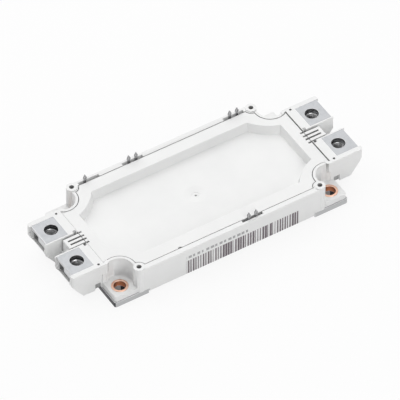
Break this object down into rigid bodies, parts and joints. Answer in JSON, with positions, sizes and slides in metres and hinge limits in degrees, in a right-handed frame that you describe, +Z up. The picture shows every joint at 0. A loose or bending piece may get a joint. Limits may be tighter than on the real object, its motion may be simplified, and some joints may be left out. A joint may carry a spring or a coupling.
{
  "type": "igbt module",
  "caption": "Flat half-bridge power module: metal base plate with screw ears, white moulded frame and tray lid, end blocks with screw terminals, press-fit control pins.",
  "frame": {"origin": "centre of the base plate's underside, the heatsink face", "axes": "+X along the module towards the two joined output terminals, +Z up out of the heatsink face"},
  "size_m": [0.152, 0.0626, 0.0205],
  "materials": {
    "nickel_plated_copper": "satin nickel plating",
    "white_plastic": "fine-textured moulding",
    "copper": "bare copper, turned and rolled",
    "plated_terminal": "dull tin or nickel plating on stamped copper",
    "zinc_steel": "zinc plating",
    "tinned_pin": "bright tin plating",
    "alumina": "fired, unglazed",
    "chip": "metallised silicon",
    "aluminium_wire": "drawn wire",
    "thermistor_body": "dark ceramic",
    "silicone_bead": "cured silicone",
    "silicone_gel": "soft clear gel"
  },
  "bodies": {
    "root": {"base_plate": "nickel_plated_copper", "frame": "white_plastic", "lid": "white_plastic", "mounting_sleeve_front_left": "copper", "mounting_sleeve_front_right": "copper", "mounting_sleeve_back_left": "copper", "mounting_sleeve_back_right": "copper", "busbar_dc_plus": "plated_terminal", "busbar_dc_minus": "plated_terminal", "busbar_ac_1": "plated_terminal", "busbar_ac_2": "plated_terminal", "terminal_nut_dc_plus": "zinc_steel", "terminal_nut_dc_minus": "zinc_steel", "terminal_nut_ac_1": "zinc_steel", "terminal_nut_ac_2": "zinc_steel", "control_pin_1": "tinned_pin", "control_pin_2": "tinned_pin", "control_pin_3": "tinned_pin", "control_pin_4": "tinned_pin", "control_pin_5": "tinned_pin", "control_pin_6": "tinned_pin", "control_pin_7": "tinned_pin", "ceramic_left": "alumina", "ceramic_middle": "alumina", "ceramic_right": "alumina", "back_copper_left": "copper", "back_copper_middle": "copper", "back_copper_right": "copper", "top_copper_left": "copper", "top_copper_middle": "copper", "top_copper_right": "copper", "igbt_chips": "chip", "diode_chips": "chip", "chip_wires": "aluminium_wire", "pin_wires": "aluminium_wire", "thermistor": "thermistor_body", "frame_seal": "silicone_bead", "gel": "silicone_gel"}
  },
  "joints": []
}
